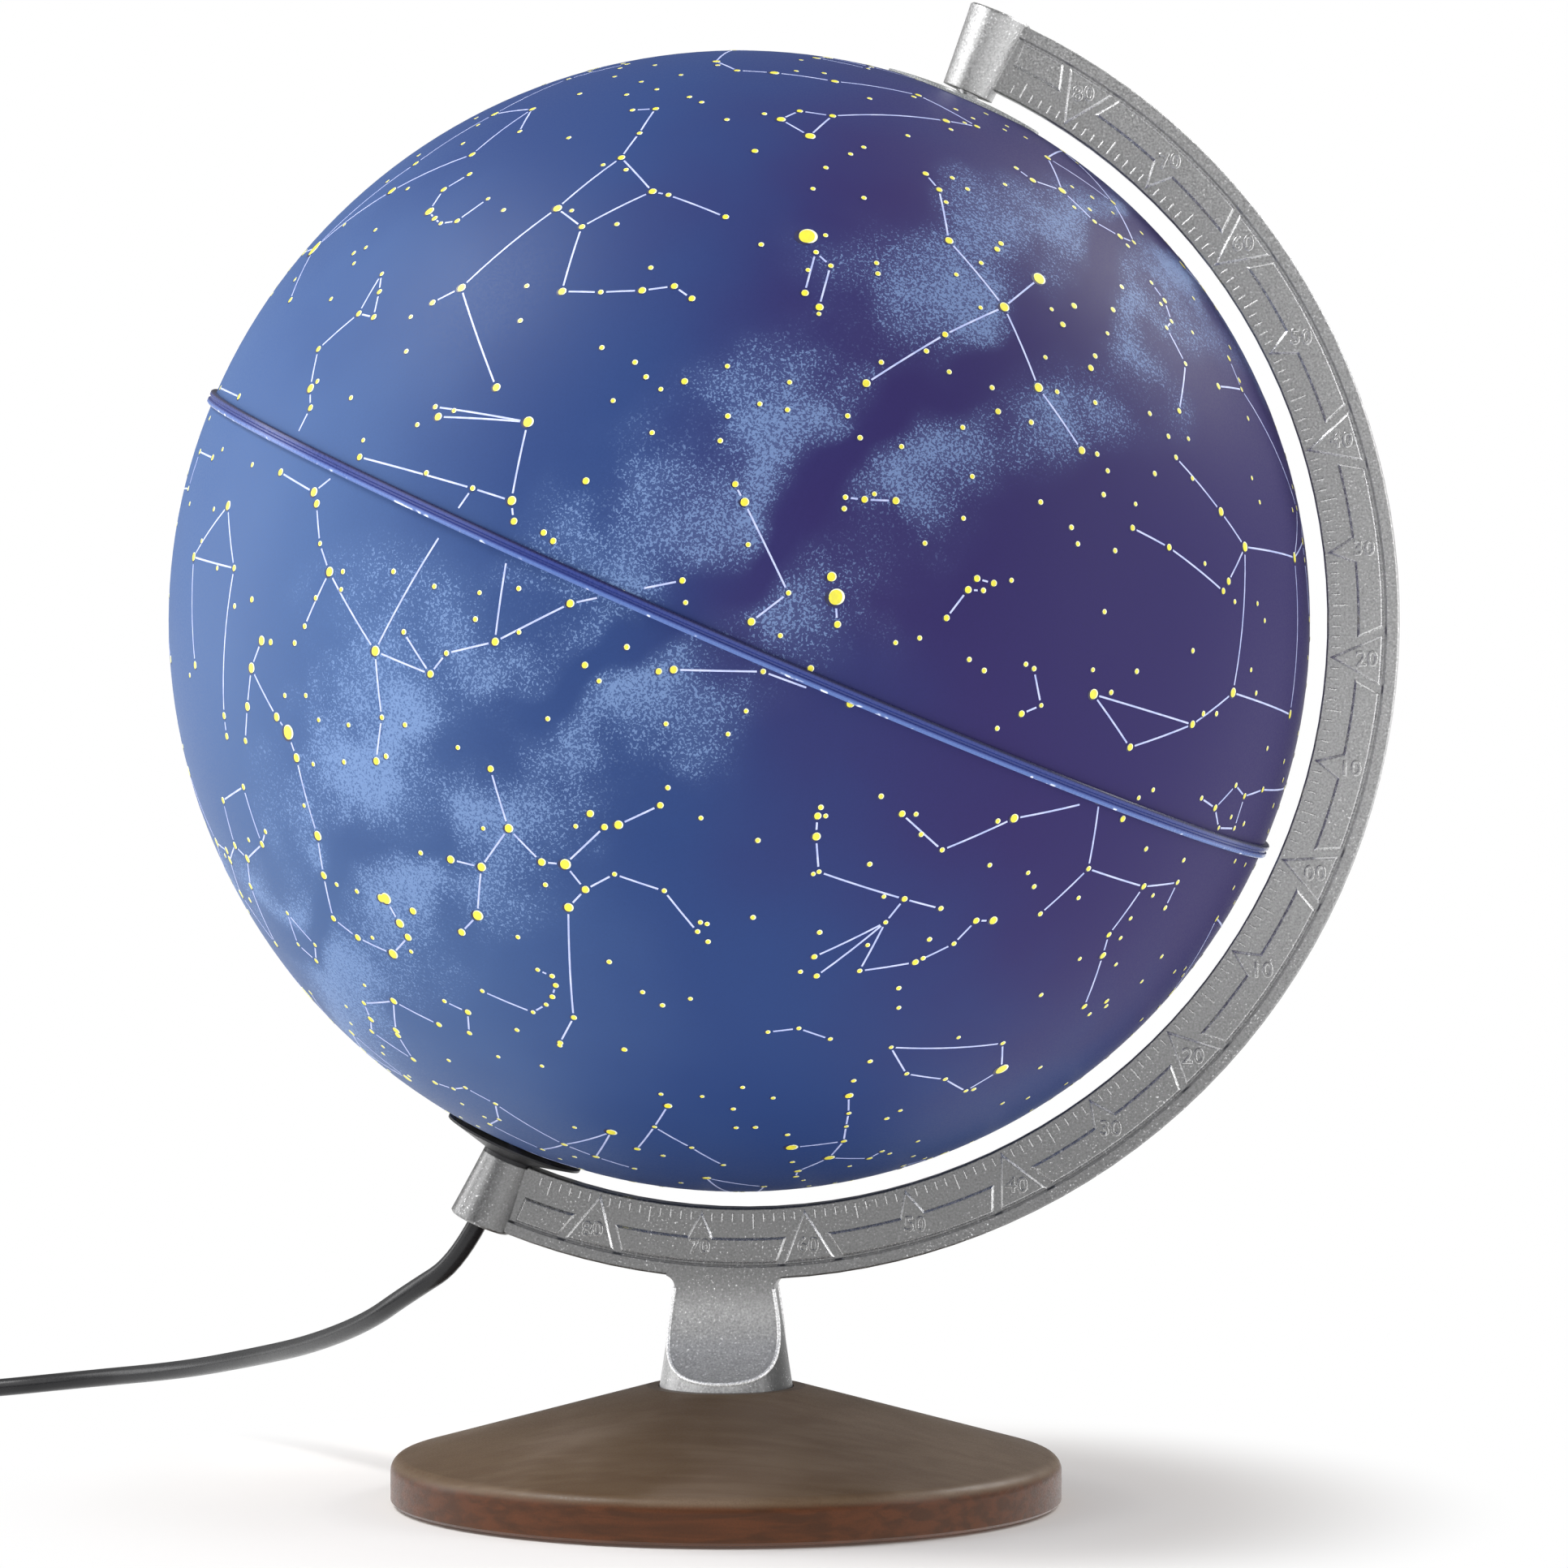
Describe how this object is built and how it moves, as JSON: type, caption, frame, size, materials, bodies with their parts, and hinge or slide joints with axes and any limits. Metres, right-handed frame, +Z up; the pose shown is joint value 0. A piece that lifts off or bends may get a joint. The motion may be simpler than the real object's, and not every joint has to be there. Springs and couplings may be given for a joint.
{
  "type": "celestial globe",
  "caption": "Illuminated celestial globe that turns in a graduated C-shaped meridian on a low turned wooden base, with a mains lead and in-line switch.",
  "frame": {"origin": "centre of the face that rests on the table, below the middle of the round base", "axes": "+Z up; the meridian lies in the XZ plane and its ring is on the +X side; the north pole leans 23.5 degrees towards +X; +Y is the back"},
  "size_m": [0.4844, 0.3244, 0.3951],
  "materials": {
    "globe_print": "printed star chart, satin",
    "globe_band": "moulded band, satin",
    "white_plastic": "moulded, natural",
    "clear_plastic": "clear moulding",
    "wood": "stained and matt lacquered",
    "felt": "pressed felt",
    "steel": "zinc plated",
    "cast_metal": "die cast, sparkly silver lacquer",
    "black_plastic": "moulded, satin",
    "brass": "drawn",
    "black_rubber": "moulded",
    "bulb_cap_metal": "drawn shell",
    "bulb_glass": "clear",
    "wire_brown": "insulated core",
    "cord_pvc": "glossy PVC sheath",
    "plug_metal": "nickel plated"
  },
  "bodies": {
    "stand": {"base_disc": "wood", "base_felt": "felt", "base_bolt": "steel", "base_washer": "steel", "locating_dowel": "steel", "meridian": "cast_metal", "pivot_pin": "steel", "pivot_set_screw": "steel", "pivot_cap": "cast_metal", "lampholder_flange": "black_plastic", "stem_nipple": "brass", "stem_nut": "brass", "cord_grommet": "black_rubber", "lampholder_body": "white_plastic", "lampholder_shell": "brass", "lampholder_contact": "brass", "bulb_cap": "bulb_cap_metal", "bulb_glass": "bulb_glass", "bulb_stem": "bulb_glass", "bulb_filament": "steel", "lamp_wires": "wire_brown", "cord_lead": "cord_pvc", "cord_link": "cord_pvc", "cord_coil": "cord_pvc", "cord_tail": "cord_pvc", "switch_lower": "black_plastic", "switch_upper": "black_plastic", "switch_contacts": "brass", "switch_screws": "steel", "plug_body": "black_plastic", "plug_pins": "plug_metal"},
    "globe": {"north_hemisphere": "globe_print", "south_hemisphere": "globe_print", "equator_band": "globe_band", "north_bush": "white_plastic", "south_bush": "white_plastic", "north_pole_cap": "clear_plastic"},
    "rocker": {"switch_rocker": "black_plastic"}
  },
  "joints": [
    {"name": "globe_spin", "type": "hinge", "parent": "stand", "child": "globe", "pos_m": [0.0035, 0, 0.2325], "axis": [0.3987, 0, 0.9171], "continuous": true},
    {"name": "switch_rock", "type": "hinge", "parent": "stand", "child": "rocker", "pos_m": [-0.29, 0.087, 0.012], "axis": [1, 0, 0], "range_deg": [0, 16]}
  ]
}
